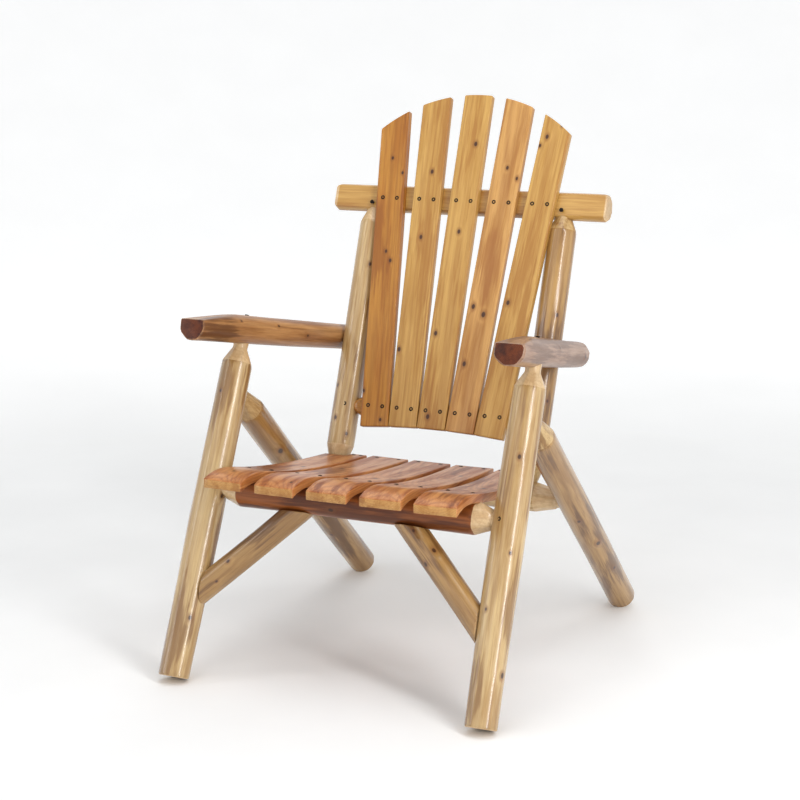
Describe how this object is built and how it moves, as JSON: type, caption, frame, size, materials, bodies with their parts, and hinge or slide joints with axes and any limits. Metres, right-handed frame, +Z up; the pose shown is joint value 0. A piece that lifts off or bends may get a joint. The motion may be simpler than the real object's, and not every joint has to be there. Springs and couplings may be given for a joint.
{
  "type": "armchair",
  "caption": "Rustic armchair of varnished peeled logs with pencil-cut joints, a fanned, crowned slat back, a curved slat seat and log armrests with planed tops.",
  "frame": {"origin": "on the floor under the middle of the chair's bounding box", "axes": "+Z up; the chair faces -Y; +X is the sitter's left hand"},
  "size_m": [0.6832, 0.8393, 1.0619],
  "materials": {
    "log_wood": "peeled softwood log under clear gloss varnish",
    "armrest_wood": "peeled and planed log under clear gloss varnish, browner than the legs",
    "rail_wood": "peeled log under clear gloss varnish, orange brown",
    "seat_slat_wood": "sawn and planed softwood board under clear gloss varnish, orange brown",
    "back_slat_wood": "sawn and planed softwood board under clear satin varnish, honey coloured",
    "screw_steel": "dark coated countersunk screw"
  },
  "bodies": {
    "root": {"front_leg_left": "log_wood", "front_leg_right": "log_wood", "rear_leg_left": "log_wood", "rear_leg_right": "log_wood", "back_post_left": "log_wood", "back_post_right": "log_wood", "armrest_left": "armrest_wood", "armrest_right": "armrest_wood", "brace_left": "log_wood", "brace_right": "log_wood", "front_seat_rail": "rail_wood", "rear_seat_rail": "rail_wood", "lower_back_rail": "log_wood", "top_rail": "log_wood", "seat_slat_1": "seat_slat_wood", "seat_slat_2": "seat_slat_wood", "seat_slat_3": "seat_slat_wood", "seat_slat_4": "seat_slat_wood", "seat_slat_5": "seat_slat_wood", "back_slat_1": "back_slat_wood", "back_slat_2": "back_slat_wood", "back_slat_3": "back_slat_wood", "back_slat_4": "back_slat_wood", "back_slat_5": "back_slat_wood", "back_slat_screws_top": "screw_steel", "back_slat_screws_bottom": "screw_steel", "seat_slat_screws_front": "screw_steel", "seat_slat_screws_rear": "screw_steel", "brace_screws": "screw_steel", "front_rail_screws": "screw_steel", "rear_rail_screws": "screw_steel", "rear_leg_screws": "screw_steel", "top_rail_screws": "screw_steel", "lower_rail_screws": "screw_steel", "leg_top_screws": "screw_steel", "armrest_screws": "screw_steel"}
  },
  "joints": []
}
